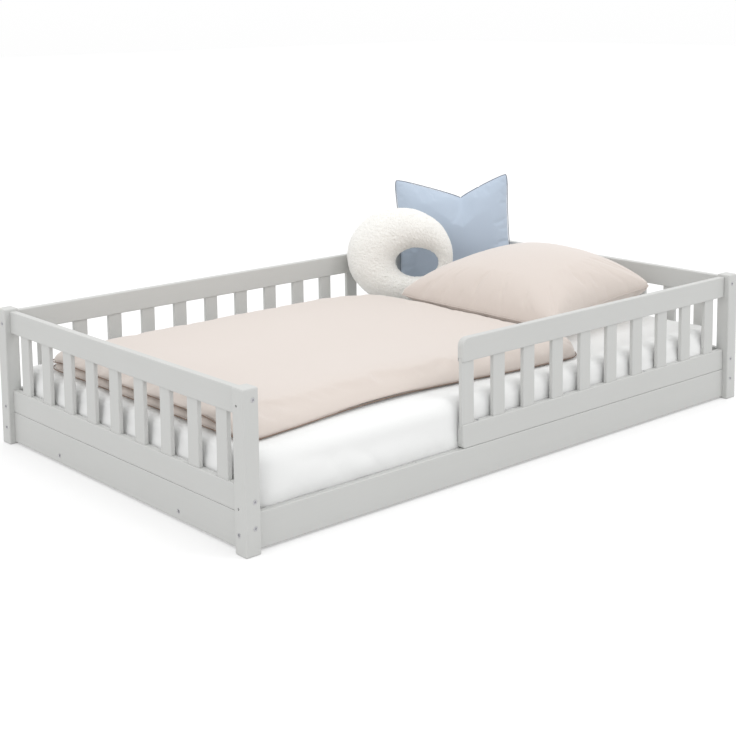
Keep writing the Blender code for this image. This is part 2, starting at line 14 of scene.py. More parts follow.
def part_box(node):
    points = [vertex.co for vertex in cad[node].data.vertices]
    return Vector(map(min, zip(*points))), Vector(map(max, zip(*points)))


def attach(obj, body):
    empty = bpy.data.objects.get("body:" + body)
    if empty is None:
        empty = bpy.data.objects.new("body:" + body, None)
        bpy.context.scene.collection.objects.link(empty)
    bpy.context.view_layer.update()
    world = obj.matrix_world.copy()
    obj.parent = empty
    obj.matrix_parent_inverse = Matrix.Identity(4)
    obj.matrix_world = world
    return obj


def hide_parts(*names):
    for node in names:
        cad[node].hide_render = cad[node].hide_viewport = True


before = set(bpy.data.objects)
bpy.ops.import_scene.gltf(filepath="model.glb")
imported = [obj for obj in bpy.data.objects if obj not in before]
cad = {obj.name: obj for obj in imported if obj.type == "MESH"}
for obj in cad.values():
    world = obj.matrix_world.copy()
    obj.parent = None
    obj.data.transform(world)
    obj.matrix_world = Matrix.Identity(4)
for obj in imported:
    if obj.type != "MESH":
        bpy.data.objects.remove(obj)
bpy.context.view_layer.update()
scene = bpy.context.scene


def feed(tree, node, inputs):
    """Gives each named input of a node a value, or links it to another node's output."""
    for socket, value in dict(inputs).items():
        if isinstance(value, bpy.types.NodeSocket):
            tree.links.new(value, node.inputs[socket])
        else:
            node.inputs[socket].default_value = value


def add_node(tree, kind, inputs=(), **settings):
    made = tree.nodes.new(kind)
    for key, value in settings.items():
        setattr(made, key, value)
    feed(tree, made, inputs)
    return made


def add(tree, kind, inputs=(), **settings):
    """Adds a shader node, named without its prefix."""
    return add_node(tree, "ShaderNode" + kind, inputs, **settings)


def math_of(tree, operation, *numbers):
    return add(tree, "Math", dict(enumerate(numbers)), operation=operation).outputs[0]


def new_group(name, inputs, outputs):
    """An empty shader group; inputs are (name, kind, default) and outputs are (name, kind)."""
    tree = bpy.data.node_groups.new(name, "ShaderNodeTree")
    for label, kind, default in inputs:
        socket = tree.interface.new_socket(label, in_out="INPUT", socket_type=f"NodeSocket{kind}")
        socket.default_value = default
    for label, kind in outputs:
        tree.interface.new_socket(label, in_out="OUTPUT", socket_type=f"NodeSocket{kind}")
    start = tree.nodes.new("NodeGroupInput")
    end = tree.nodes.new("NodeGroupOutput")
    return tree, start.outputs, end.inputs


def place_group(tree, group, inputs):
    return add(tree, "Group", inputs, node_tree=group).outputs


def new_finish(name):
    """A new material, its tree and its Principled shader."""
    made = bpy.data.materials.new(name)
    made.use_nodes = True
    return made, made.node_tree, made.node_tree.nodes["Principled BSDF"]


def blend_colours(tree, share, first, second):
    made = add(tree, "Mix", {"Factor": share, 6: first, 7: second}, data_type="RGBA")
    return made.outputs[2]


def noise_of(tree, place, scale, detail):
    inputs = {"Vector": place, "Scale": scale, "Detail": detail}
    return add(tree, "TexNoise", inputs).outputs["Fac"]


def bump_from(tree, height, strength, distance):
    inputs = {"Height": height, "Strength": strength, "Distance": distance}
    return add(tree, "Bump", inputs).outputs["Normal"]


def new_piece(name, points, faces, finish=None):
    """A new object at the origin, with its place in its mesh."""
    mesh = bpy.data.meshes.new(name)
    mesh.from_pydata([tuple(p) for p in points], [], [tuple(f) for f in faces])
    mesh.update()
    made = bpy.data.objects.new(name, mesh)
    scene.collection.objects.link(made)
    if finish:
        mesh.materials.append(finish)
    return made


def face_outwards(piece):
    shape = bmesh.new()
    shape.from_mesh(piece.data)
    bmesh.ops.remove_doubles(shape, verts=shape.verts, dist=1e-6)
    bmesh.ops.recalc_face_normals(shape, faces=shape.faces)
    shape.to_mesh(piece.data)
    shape.free()


# The studio: a plain pale floor that runs out of sight, a wide pale sky for soft light from
# every side, a large soft lamp in front and a weaker one past the foot end.
WHITE = (1.0, 1.0, 1.0, 1.0)
FLOOR_REACH = 30.0
FLOOR_GLOW = 0.12  # faint, so that the bed's shadow stays soft
FLOOR_GLOW_SEEN = 0.24  # more of it for the camera, so that the floor shows as pale as the sky
SKY_STRENGTH = 1.0
SKY_RISE = 0.27  # how much stronger it is straight overhead

floor_corners = [
    (x * FLOOR_REACH, y * FLOOR_REACH, 0) for x, y in ((-1, -1), (1, -1), (1, 1), (-1, 1))
]
pale_floor, floor_tree, floor_shader = new_finish("pale_floor")
floor_shader.inputs["Base Color"].default_value = (0.60, 0.60, 0.60, 1.0)
floor_shader.inputs["Emission Color"].default_value = WHITE
floor_shader.inputs["Roughness"].default_value = 0.9
floor_shader.inputs["Specular IOR Level"].default_value = 0.1
seen = add(floor_tree, "LightPath").outputs["Is Camera Ray"]
glow = math_of(floor_tree, "MULTIPLY_ADD", seen, FLOOR_GLOW_SEEN, FLOOR_GLOW)
floor_tree.links.new(glow, floor_shader.inputs["Emission Strength"])
floor = new_piece("studio_floor", floor_corners, [(0, 1, 2, 3)], pale_floor)

sky = bpy.data.worlds.new("studio_sky")
sky.use_nodes = True
sky_shader = sky.node_tree.nodes["Background"]
sky_shader.inputs["Color"].default_value = WHITE
sky_way = add(sky.node_tree, "TexCoord").outputs["Generated"]
sky_height = add(sky.node_tree, "SeparateXYZ", {0: sky_way}).outputs["Z"]
sky_strength = math_of(sky.node_tree, "MULTIPLY_ADD", sky_height, SKY_RISE, SKY_STRENGTH)
sky.node_tree.links.new(sky_strength, sky_shader.inputs["Strength"])
scene.world = sky
scene.view_settings.view_transform = "Standard"


def soft_lamp(name, place, target, size, power):
    light = bpy.data.lights.new(name, "AREA")
    light.shape = "DISK"
    light.size = size
    light.energy = power
    lamp = bpy.data.objects.new(name, light)
    lamp.location = place
    lamp.rotation_euler = (Vector(target) - Vector(place)).to_track_quat("-Z", "Y").to_euler()
    scene.collection.objects.link(lamp)


LAMP_TARGET = (0.0, 0.0, 0.3)
soft_lamp("key_lamp", (5.0, -8.0, 11.0), LAMP_TARGET, 4.5, 260.0)
soft_lamp("foot_lamp", (-12.0, -2.0, 7.0), LAMP_TARGET, 6.0, 170.0)

# The camera stands off the foot corner of the entry side, with the picture shifted down.
CAMERA_PLACE = Vector((-3.025, -3.376, 1.382))
CAMERA_TURN = math.radians(41.27)
CAMERA_TILT = math.radians(7.48)
CAMERA_ROLL = math.radians(-0.67)
CAMERA_SENSOR = 36.0
CAMERA_LENS = 68.68
CAMERA_SHIFT = -0.25
view_way = Vector(
    (
        math.sin(CAMERA_TURN) * math.cos(CAMERA_TILT),
        math.cos(CAMERA_TURN) * math.cos(CAMERA_TILT),
        -math.sin(CAMERA_TILT),
    )
)
view_right = Vector((math.cos(CAMERA_TURN), -math.sin(CAMERA_TURN), 0.0))
view_up = view_right.cross(view_way)
rolled_right = math.cos(CAMERA_ROLL) * view_right + math.sin(CAMERA_ROLL) * view_up
rolled_up = math.cos(CAMERA_ROLL) * view_up - math.sin(CAMERA_ROLL) * view_right
camera = bpy.data.objects.new("camera", bpy.data.cameras.new("camera"))
camera.data.sensor_width = CAMERA_SENSOR
camera.data.lens = CAMERA_LENS
camera.data.shift_y = CAMERA_SHIFT
camera.matrix_world = Matrix.Translation(CAMERA_PLACE) @ Matrix(
    (rolled_right, rolled_up, -view_way)
).transposed().to_4x4()
scene.collection.objects.link(camera)
scene.camera = camera


# Posts, boards, rails and balusters: planed pine under two coats of satin light grey paint.
# The paint hides the timber's colour, and the grain still shows as a faint relief along it.
PAINT = (0.548, 0.552, 0.540, 1.0)
THIN_PAINT = (0.516, 0.520, 0.505, 1.0)
PAINT_ROUGHNESS = 0.42
ALONG = 5.0  # grain features to a metre, along the timber
ACROSS = 260.0

satin_paint, given, put = new_group(
    "satin_paint_on_timber",
    (
        ("Grain", "Vector", (0, 0, 0)),
        ("Place", "Vector", (0, 0, 0)),
        ("Paint", "Color", PAINT),
        ("Thin Paint", "Color", THIN_PAINT),
        ("Gloss Loss", "Float", PAINT_ROUGHNESS),
    ),
    (("Colour", "Color"), ("Roughness", "Float"), ("Height", "Float")),
)
grain_lines = noise_of(satin_paint, given["Grain"], 1.0, 4.0)
brush_lines = noise_of(satin_paint, given["Grain"], 3.1, 2.0)
clouds = noise_of(satin_paint, given["Place"], 5.0, 3.0)
speckle = noise_of(satin_paint, given["Place"], 900.0, 1.0)
thin = math_of(satin_paint, "MULTIPLY", math_of(satin_paint, "SUBTRACT", grain_lines, 0.5), 0.55)
thin = math_of(satin_paint, "ADD", thin, math_of(satin_paint, "MULTIPLY", clouds, 0.45))
satin_paint.links.new(
    blend_colours(satin_paint, thin, given["Paint"], given["Thin Paint"]), put["Colour"]
)
rough = math_of(satin_paint, "MULTIPLY", math_of(satin_paint, "SUBTRACT", clouds, 0.5), 0.22)
rough = math_of(satin_paint, "ADD", rough, given["Gloss Loss"])
satin_paint.links.new(rough, put["Roughness"])
relief = math_of(satin_paint, "ADD", grain_lines, math_of(satin_paint, "MULTIPLY", brush_lines, 0.4))
relief = math_of(satin_paint, "ADD", relief, math_of(satin_paint, "MULTIPLY", speckle, 0.12))
satin_paint.links.new(relief, put["Height"])


def finish_paint(name, grain_of):
    """Painted timber; grain_of(tree, place) gives the point that the grain is read at."""
    made, tree, shader = new_finish(name)
    place = add(tree, "TexCoord").outputs["Object"]
    coat = place_group(
        tree,
        satin_paint,
        {
            "Grain": grain_of(tree, place),
            "Place": place,
            "Paint": PAINT,
            "Thin Paint": THIN_PAINT,
            "Gloss Loss": PAINT_ROUGHNESS,
        },
    )
    tree.links.new(coat["Colour"], shader.inputs["Base Color"])
    tree.links.new(coat["Roughness"], shader.inputs["Roughness"])
    tree.links.new(bump_from(tree, coat["Height"], 0.35, 0.00035), shader.inputs["Normal"])
    shader.inputs["Specular IOR Level"].default_value = 0.35
    return made


def stretched(stretch):
    def read(tree, place):
        return add(tree, "Mapping", {"Vector": place, "Scale": stretch}).outputs["Vector"]

    return read


def rails_and_uprights(stretch):
    """Grain along the rails, and upwards in the balusters between them."""
    rails_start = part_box("guard_rail_lower")[1].z
    rails_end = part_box("guard_rail_top")[0].z

    def read(tree, place):
        height = add(tree, "SeparateXYZ", {"Vector": place}).outputs["Z"]
        above = math_of(tree, "GREATER_THAN", height, rails_start)
        below = math_of(tree, "LESS_THAN", height, rails_end)
        between = math_of(tree, "MULTIPLY", above, below)
        along = stretched(stretch)(tree, place)
        upright = stretched((ACROSS, ACROSS, ALONG))(tree, place)
        chosen = add(tree, "Mix", {0: between, 4: along, 5: upright}, data_type="VECTOR")
        return chosen.outputs[1]

    return read


paint_upright = finish_paint("grey_paint_upright", stretched((ACROSS, ACROSS, ALONG)))
paint_long = finish_paint("grey_paint_long", stretched((ALONG, ACROSS, ACROSS)))
paint_cross = finish_paint("grey_paint_cross", stretched((ACROSS, ALONG, ACROSS)))
paint_back = finish_paint("grey_paint_back_gallery", rails_and_uprights((ALONG, ACROSS, ACROSS)))
paint_head = finish_paint("grey_paint_head_gallery", rails_and_uprights((ACROSS, ALONG, ACROSS)))

painted = {
    paint_upright: ("post_", "foot_baluster_", "guard_baluster_"),
    paint_long: ("board_front", "board_back", "guard_rail_"),
    paint_cross: ("board_foot", "board_head", "foot_rail_"),
    paint_back: ("back_gallery",),
    paint_head: ("head_gallery",),
}
for finish, starts in painted.items():
    for name, node in cad.items():
        if name.startswith(starts):
            for material_slot in node.material_slots:
                material_slot.material = finish


# Screws: zinc-plated one-piece connectors with a hexagon socket, driven flush into the posts.
# The foot end and the entry side have theirs in the frame; these are the other corners' and
# the two that hold the beams to the head board.
BRIGHT_ZINC = (0.70, 0.70, 0.71, 1.0)
DULL_ZINC = (0.50, 0.50, 0.52, 1.0)
zinc, zinc_tree, zinc_shader = new_finish("zinc_plate")
zinc_place = add(zinc_tree, "TexCoord").outputs["Object"]
zinc_cloud = noise_of(zinc_tree, zinc_place, 700.0, 3.0)
zinc_colour = blend_colours(zinc_tree, zinc_cloud, BRIGHT_ZINC, DULL_ZINC)
zinc_tree.links.new(zinc_colour, zinc_shader.inputs["Base Color"])
zinc_rough = math_of(zinc_tree, "MULTIPLY", zinc_cloud, 0.3)
zinc_rough = math_of(zinc_tree, "ADD", zinc_rough, 0.18)
zinc_tree.links.new(zinc_rough, zinc_shader.inputs["Roughness"])
zinc_shader.inputs["Metallic"].default_value = 1.0
for name, node in cad.items():
    if name.startswith("screw_"):
        node.material_slots[0].material = zinc

SCREW_SIDES = 12
SCREW_LENGTH = 0.088
SCREW_TIP_R = 0.0016
HEAD_R = 0.0065
HEAD_DEPTH = 0.0040
SHANK_R = 0.0033
SOCKET_FLAT = 0.0034  # half the width over the socket's flats
SOCKET_DEPTH = 0.0030
SCREW_RINGS = (  # distance below the head's face, radius or half the width over the flats, hexagon
    (SOCKET_DEPTH, SOCKET_FLAT, True),
    (0.0, SOCKET_FLAT, True),
    (0.0, HEAD_R, False),
    (HEAD_DEPTH, HEAD_R, False),
    (HEAD_DEPTH, SHANK_R, False),
    (SCREW_LENGTH - SHANK_R, SHANK_R, False),
    (SCREW_LENGTH, SCREW_TIP_R, False),
)


screw_points = []
for depth, radius, hexagon in SCREW_RINGS:
    for i in range(SCREW_SIDES):
        angle = 2 * math.pi * i / SCREW_SIDES
        reach = radius
        if hexagon:
            reach /= math.cos((angle + math.pi / 6) % (math.pi / 3) - math.pi / 6)
        screw_points.append((reach * math.cos(angle), reach * math.sin(angle), depth))
screw_faces = [range(SCREW_SIDES)]
screw_faces.append(range(len(screw_points) - SCREW_SIDES, len(screw_points)))
for ring in range(len(SCREW_RINGS) - 1):
    for i in range(SCREW_SIDES):
        a = ring * SCREW_SIDES + i
        b = ring * SCREW_SIDES + (i + 1) % SCREW_SIDES
        screw_faces.append((a, b, b + SCREW_SIDES, a + SCREW_SIDES))
one_screw = new_piece("one_screw", screw_points, screw_faces)
face_outwards(one_screw)


def geometry_tree(name, sockets):
    """An empty Geometry Nodes tree that takes and gives a shape, with named inputs."""
    tree = bpy.data.node_groups.new(name, "GeometryNodeTree")
    tree.interface.new_socket("Shape", in_out="INPUT", socket_type="NodeSocketGeometry")
    for label, kind in sockets:
        tree.interface.new_socket(label, in_out="INPUT", socket_type=f"NodeSocket{kind}")
    tree.interface.new_socket("Shape", in_out="OUTPUT", socket_type="NodeSocketGeometry")
    return tree


def grow(piece, tree, values):
    """Runs a Geometry Nodes tree on a piece and keeps the result as its plain mesh."""
    modifier = piece.modifiers.new(tree.name, "NODES")
    modifier.node_group = tree
    for item in tree.interface.items_tree:
        if item.in_out == "INPUT" and item.name in values:
            modifier[item.identifier] = values[item.name]
    graph = bpy.context.evaluated_depsgraph_get()
    made = bpy.data.meshes.new_from_object(piece.evaluated_get(graph))
    piece.modifiers.remove(modifier)
    piece.data = made
    return piece


set_along = geometry_tree(
    "set_one_at_each_point", (("One", "Object"), ("Finish", "Material"), ("Way", "Vector"))
)
start = set_along.nodes.new("NodeGroupInput").outputs
way = add_node(set_along, "GeometryNodeInputNamedAttribute", {"Name": "way"}, data_type="FLOAT_VECTOR")
facing = add_node(
    set_along, "FunctionNodeAlignRotationToVector", {"Vector": way.outputs[0]}, axis="Z"
)
one = add_node(set_along, "GeometryNodeObjectInfo", {"Object": start["One"]})
placed = add_node(
    set_along,
    "GeometryNodeInstanceOnPoints",
    {"Points": start["Shape"], "Instance": one.outputs["Geometry"], "Rotation": facing.outputs[0]},
)
real = add_node(set_along, "GeometryNodeRealizeInstances", {"Geometry": placed.outputs[0]})
coated = add_node(
    set_along, "GeometryNodeSetMaterial", {"Geometry": real.outputs[0], "Material": start["Finish"]}
)
end = set_along.nodes.new("NodeGroupOutput")
set_along.links.new(coated.outputs[0], end.inputs[0])


def set_copies(name, one_piece, spots, ways, finish):
    """A piece made of a copy of one_piece at each spot, its Z turned to each way."""
    piece = new_piece(name, spots, ())
    attribute = piece.data.attributes.new("way", "FLOAT_VECTOR", "POINT")
    attribute.data.foreach_set("vector", [number for w in ways for number in w])
    return grow(piece, set_along, {"One": one_piece, "Finish": finish})


post_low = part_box("post_front_foot")[0]
out_x, out_y = -post_low.x, -post_low.y
rail_middle_x = (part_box("foot_rail_top")[0].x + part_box("foot_rail_top")[1].x) / 2
rail_middle_y = (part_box("guard_rail_top")[0].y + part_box("guard_rail_top")[1].y) / 2
member_bottoms = [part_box(n)[0].z for n in ("board_front", "guard_rail_lower", "guard_rail_top")]
SIDE_RISES = (0.048, 0.019, 0.031)  # of the screws above the bottoms of what they hold
END_RISES = (0.066, 0.038, 0.047)
screw_spots, screw_ways = [], []
for bottom, side_rise, end_rise in zip(member_bottoms, SIDE_RISES, END_RISES):
    for sy in (-1, 1):
        screw_spots.append((out_x, sy * -rail_middle_y, bottom + side_rise))
        screw_ways.append((-1, 0, 0))
    for sx in (-1, 1):
        screw_spots.append((sx * -rail_middle_x, out_y, bottom + end_rise))
        screw_ways.append((0, -1, 0))
beam_low, beam_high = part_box("beam_back")
for sy in (-1, 1):
    beam_line = sy * (beam_low.y + beam_high.y) / 2
    screw_spots.append((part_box("board_head")[1].x, beam_line, (beam_low.z + beam_high.z) / 2))
    screw_ways.append((-1, 0, 0))
screws = set_copies("screws_back_and_head", one_screw, screw_spots, screw_ways, zinc)
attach(screws, "frame")
bpy.data.objects.remove(one_screw)


# The slatted base: bare pine slats stapled to two webbing straps, on bearers along the side
# boards and on two beams with pads to the floor.
pine_grain, given, put = new_group(
    "pine_grain",
    (
        ("Grain", "Vector", (0, 0, 0)),
        ("Early Wood", "Color", (0.8, 0.6, 0.4, 1)),
        ("Late Wood", "Color", (0.6, 0.4, 0.2, 1)),
    ),
    (("Colour", "Color"), ("Roughness", "Float"), ("Height", "Float")),
)
wander = noise_of(pine_grain, given["Grain"], 0.6, 2.0)
rings = add(
    pine_grain, "TexNoise", {"Vector": given["Grain"], "Scale": 1.7, "Detail": 5.0, "Distortion": 1.1}
)
lines = add(pine_grain, "ValToRGB", {"Fac": rings.outputs["Fac"]})
lines.color_ramp.elements[0].position = 0.42
lines.color_ramp.elements[1].position = 0.62
pine_grain.links.new(
    blend_colours(pine_grain, lines.outputs["Color"], given["Early Wood"], given["Late Wood"]),
    put["Colour"],
)
pine_rough = math_of(pine_grain, "MULTIPLY", wander, 0.25)
pine_grain.links.new(math_of(pine_grain, "ADD", pine_rough, 0.45), put["Roughness"])
pine_grain.links.new(rings.outputs["Fac"], put["Height"])

EARLY_WOOD = (0.78, 0.58, 0.36, 1.0)
LATE_WOOD = (0.60, 0.39, 0.20, 1.0)


def finish_pine(name, stretch):
    made, tree, shader = new_finish(name)
    place = add(tree, "TexCoord").outputs["Object"]
    grain = stretched(stretch)(tree, place)
    wood = place_group(
        tree, pine_grain, {"Grain": grain, "Early Wood": EARLY_WOOD, "Late Wood": LATE_WOOD}
    )
    tree.links.new(wood["Colour"], shader.inputs["Base Color"])
    tree.links.new(wood["Roughness"], shader.inputs["Roughness"])
    tree.links.new(bump_from(tree, wood["Height"], 0.4, 0.0004), shader.inputs["Normal"])
    return made


PINE_ALONG = 3.0  # grain features to a metre
PINE_ACROSS = 90.0
pine_long = finish_pine("bare_pine_long", (PINE_ALONG, PINE_ACROSS, PINE_ACROSS))
pine_cross = finish_pine("bare_pine_cross", (PINE_ACROSS, PINE_ALONG, PINE_ACROSS))
for name, node in cad.items():
    if name.startswith(("bearer_", "beam_")):
        node.material_slots[0].material = pine_long

SLAT_COUNT = 14
SLAT_WIDTH = 0.070
SLAT_THICKNESS = 0.016
SLAT_EDGE = 0.0018
STRAP_WIDTH = 0.025
STRAP_THICKNESS = 0.0015
STRAP_LINE = 0.450
roll_low, roll_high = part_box("slat_roll")
slat_level = roll_low.z + SLAT_THICKNESS / 2
slat_shape = bmesh.new()
bmesh.ops.create_cube(slat_shape, size=1.0)
bmesh.ops.scale(
    slat_shape, vec=(SLAT_WIDTH, roll_high.y - roll_low.y, SLAT_THICKNESS), verts=slat_shape.verts
)
bmesh.ops.bevel(
    slat_shape, geom=slat_shape.edges[:], offset=SLAT_EDGE, segments=2, affect="EDGES", profile=0.5
)
one_slat = new_piece("one_slat", (), ())
slat_shape.to_mesh(one_slat.data)
slat_shape.free()
slat_reach = roll_high.x - SLAT_WIDTH / 2
slat_spots = [
    (-slat_reach + 2 * slat_reach * i / (SLAT_COUNT - 1), 0, slat_level) for i in range(SLAT_COUNT)
]
slats = set_copies("slats", one_slat, slat_spots, [(0, 0, 1)] * SLAT_COUNT, pine_cross)
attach(slats, "frame")
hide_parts("slat_roll")
bpy.data.objects.remove(one_slat)

webbing, web_tree, web_shader = new_finish("strap_webbing")
web_place = add(web_tree, "TexCoord").outputs["Object"]
web_ribs = add(
    web_tree, "TexWave", {"Vector": web_place, "Scale": 160.0}, bands_direction="Y"
).outputs["Fac"]
web_picks = add(
    web_tree, "TexWave", {"Vector": web_place, "Scale": 110.0}, bands_direction="X"
).outputs["Fac"]
web_relief = math_of(web_tree, "MULTIPLY", web_ribs, web_picks)
# Painted shade: the colour is darker where the relief is low, in the grooves of the weave.
web_colour = blend_colours(web_tree, web_relief, (0.55, 0.54, 0.50, 1), (0.80, 0.79, 0.75, 1))
web_tree.links.new(web_colour, web_shader.inputs["Base Color"])
web_tree.links.new(bump_from(web_tree, web_relief, 0.5, 0.0004), web_shader.inputs["Normal"])
web_shader.inputs["Roughness"].default_value = 0.85
# The corners of a box, numbered along X, then Y, then Z.
BOX_FACES = ((0, 1, 3, 2), (4, 6, 7, 5), (0, 4, 5, 1), (2, 3, 7, 6), (0, 2, 6, 4), (1, 5, 7, 3))
strap_level = slat_level + SLAT_THICKNESS / 2
strap_points, strap_faces = [], []
for sy in (-1, 1):
    for x in np.linspace(-slat_reach - SLAT_WIDTH / 4, slat_reach + SLAT_WIDTH / 4, 2):
        for y in (-1, 1):
            for z in (0.0, STRAP_THICKNESS):
                strap_points.append((x, sy * STRAP_LINE + y * STRAP_WIDTH / 2, strap_level + z))
for base in (0, 8):
    strap_faces += [[base + corner for corner in quad] for quad in BOX_FACES]
straps = new_piece("slat_straps", strap_points, strap_faces, webbing)
face_outwards(straps)
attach(straps, "frame")

STAPLE_SPAN = 0.011
STAPLE_WIRE = 0.0006
STAPLE_OFFSET = 0.014  # from the slat's middle line
staple_points = [
    (x * STAPLE_SPAN / 2, y * STAPLE_WIRE, z * STAPLE_WIRE)
    for x in (-1, 1) for y in (-1, 1) for z in (0, 1)
]
one_staple = new_piece("one_staple", staple_points, BOX_FACES)
face_outwards(one_staple)
staple_level = strap_level + STRAP_THICKNESS
staple_spots = [
    (x + dx, sy * STRAP_LINE, staple_level)
    for x, _, _ in slat_spots for dx in (-STAPLE_OFFSET, STAPLE_OFFSET) for sy in (-1, 1)
]
staples = set_copies(
    "slat_staples", one_staple, staple_spots, [(0, 0, 1)] * len(staple_spots), zinc
)
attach(staples, "frame")
bpy.data.objects.remove(one_staple)


# The mattress: a foam block in a white cotton fitted sheet, drawn tight over its rounded edges.
# It bulges a little past the rail's line where the guard leaves the way in.
cotton_weave, given, put = new_group(
    "cotton_weave",
    (
        ("Cloth", "Vector", (0, 0, 0)),
        ("Place", "Vector", (0, 0, 0)),
        ("Colour", "Color", (0.8, 0.8, 0.8, 1)),
        ("Shade", "Color", (0.7, 0.7, 0.7, 1)),
        ("Threads", "Float", 1200.0),
    ),
    (("Colour", "Color"), ("Height", "Float")),
)
across_cloth = add(cotton_weave, "SeparateXYZ", {"Vector": given["Cloth"]}).outputs
turns = math_of(cotton_weave, "MULTIPLY", given["Threads"], 2 * math.pi)
warp, weft = [
    math_of(cotton_weave, "SINE", math_of(cotton_weave, "MULTIPLY", across_cloth[axis], turns))
    for axis in "XY"
]
weave = math_of(cotton_weave, "MULTIPLY", warp, weft)
slub = noise_of(cotton_weave, given["Cloth"], 260.0, 3.0)
tone = noise_of(cotton_weave, given["Place"], 3.0, 3.0)
share = math_of(cotton_weave, "MULTIPLY", weave, 0.10)
share = math_of(cotton_weave, "ADD", share, math_of(cotton_weave, "MULTIPLY", slub, 0.35))
share = math_of(cotton_weave, "ADD", share, math_of(cotton_weave, "MULTIPLY", tone, 0.30))
cotton_weave.links.new(
    blend_colours(cotton_weave, share, given["Colour"], given["Shade"]), put["Colour"]
)
height = math_of(cotton_weave, "ADD", math_of(cotton_weave, "MULTIPLY", weave, 0.5), slub)
cotton_weave.links.new(height, put["Height"])


def finish_cotton(name, colour, shade, threads, rough, sheen, relief):
    """Woven cotton in two close tones; threads counts them to a metre."""
    made, tree, shader = new_finish(name)
    cloth = add(tree, "UVMap", uv_map="cloth").outputs["UV"]
    place = add(tree, "TexCoord").outputs["Object"]
    woven = place_group(
        tree,
        cotton_weave,
        {"Cloth": cloth, "Place": place, "Colour": colour, "Shade": shade, "Threads": threads},
    )
    tree.links.new(woven["Colour"], shader.inputs["Base Color"])
    tree.links.new(bump_from(tree, woven["Height"], relief, 0.0003), shader.inputs["Normal"])
    shader.inputs["Roughness"].default_value = rough
    shader.inputs["Sheen Weight"].default_value = sheen
    shader.inputs["Sheen Roughness"].default_value = 0.45
    shader.inputs["Specular IOR Level"].default_value = 0.25
    return made


white_sheet = finish_cotton(
    "white_sheet",
    colour=(0.815, 0.82, 0.815, 1),
    shade=(0.76, 0.765, 0.76, 1),
    threads=1100.0,
    rough=0.85,
    sheen=0.05,
    relief=0.30,
)


def points_of(mesh):
    held = np.empty(len(mesh.vertices) * 3, np.float32)
    mesh.vertices.foreach_get("co", held)
    return held.reshape(-1, 3).astype(float)


def move_points(mesh, points):
    mesh.vertices.foreach_set("co", np.asarray(points, np.float32).ravel())
    mesh.update()


CLOTH_MASS = 0.25
CLOTH_STIFFNESS = 15.0
CLOTH_BENDING = 0.5


def let_fill(pad, weights, pressure, frames, most, slack):
    """Lets the stuffing press a pad's cover out; no point of it moves further than most.

    weights says how firmly each point is held, and slack how much the cover is longer.
    """
    held = pad.vertex_groups.new(name="held")
    for index in np.flatnonzero(weights > 0.0):
        held.add([int(index)], float(weights[index]), "REPLACE")
    cloth = pad.modifiers.new("fill", "CLOTH")
    settings = cloth.settings
    settings.quality = 5
    settings.mass = CLOTH_MASS
    settings.tension_stiffness = CLOTH_STIFFNESS
    settings.compression_stiffness = CLOTH_STIFFNESS
    settings.shear_stiffness = CLOTH_STIFFNESS / 3
    settings.bending_stiffness = CLOTH_BENDING
    settings.use_pressure = True
    settings.uniform_pressure_force = pressure
    settings.shrink_min = -slack
    settings.effector_weights.gravity = 0.0
    settings.vertex_group_mass = held.name
    cloth.point_cache.frame_start = 1
    cloth.point_cache.frame_end = frames
    start = points_of(pad.data)
    for number in range(1, frames + 1):
        scene.frame_set(number)
    graph = bpy.context.evaluated_depsgraph_get()
    moved = points_of(pad.evaluated_get(graph).data) - start
    pad.modifiers.remove(cloth)
    scene.frame_set(1)
    far = np.linalg.norm(moved, axis=1, keepdims=True)
    move_points(pad.data, start + moved * np.minimum(1.0, most / np.maximum(far, 1e-9)))


def smooth_step(low, high, value):
    """Rises smoothly from 0 at low to 1 at high, or falls where low is the greater."""
    t = np.clip((value - low) / (high - low), 0.0, 1.0)
    return t * t * (3 - 2 * t)


def smooth_faces(piece, subdivisions=0):
    piece.data.polygons.foreach_set("use_smooth", [True] * len(piece.data.polygons))
    if subdivisions:
        rounding = piece.modifiers.new("rounding", "SUBSURF")
        rounding.levels = subdivisions
        rounding.render_levels = subdivisions
    return piece


def ripple(points, scale, seed):
    """Smooth noise from -1 to 1 at each point."""
    shift = Vector((seed * 7.3, seed * 3.1, seed * 5.7))
    return np.array([noise.noise(Vector(p) * scale + shift) for p in points])


def closed_quads(rings, points):
    """The faces of a grid of points that closes both ways."""
    index = np.arange(rings * points).reshape(rings, points)
    ahead = np.roll(index, -1, 0)
    cells = (index, np.roll(index, -1, 1), np.roll(ahead, -1, 1), ahead)
    return np.stack(cells, -1).reshape(-1, 4).tolist()


def cloth_map(piece, flat):
    """Writes the cloth's own flat coordinates, in metres, one for each point."""
    layer = piece.data.uv_layers.new(name="cloth")
    corners = np.empty(len(piece.data.loops), np.int32)
    piece.data.loops.foreach_get("vertex_index", corners)
    layer.data.foreach_set("uv", np.asarray(flat, np.float32)[corners].ravel())


MATTRESS_CORNER = 0.050
MATTRESS_EDGE = 0.030
MATTRESS_CELL = 0.016
ENTRY_BULGE = 0.011
BULGE_RISE = 0.035  # the height over which it swells above the board, and draws in at its top
BOARD_CLEARANCE = 0.0009
CORNER_SWELL = 0.06  # the length over which it meets the board past each post
CREASE_DEPTH = 0.0016
FINE_CREASE_DEPTH = 0.0007
bed_low, bed_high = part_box("mattress")
half = (bed_high - bed_low) / 2
centre = (bed_high + bed_low) / 2
counts = [max(2, round(2 * h / MATTRESS_CELL)) for h in half]
shape = bmesh.new()
bmesh.ops.create_cube(shape, size=2.0)
for axis, count in enumerate(counts):
    edges = [
        e for e in shape.edges
        if abs(e.verts[0].co[axis] - e.verts[1].co[axis]) > 1e-6
    ]
    bmesh.ops.subdivide_edges(shape, edges=edges, cuts=count - 1, use_grid_fill=True)
mattress = new_piece("mattress_in_sheet", (), ())
shape.to_mesh(mattress.data)
shape.free()
cube = points_of(mattress.data) * np.array(half)
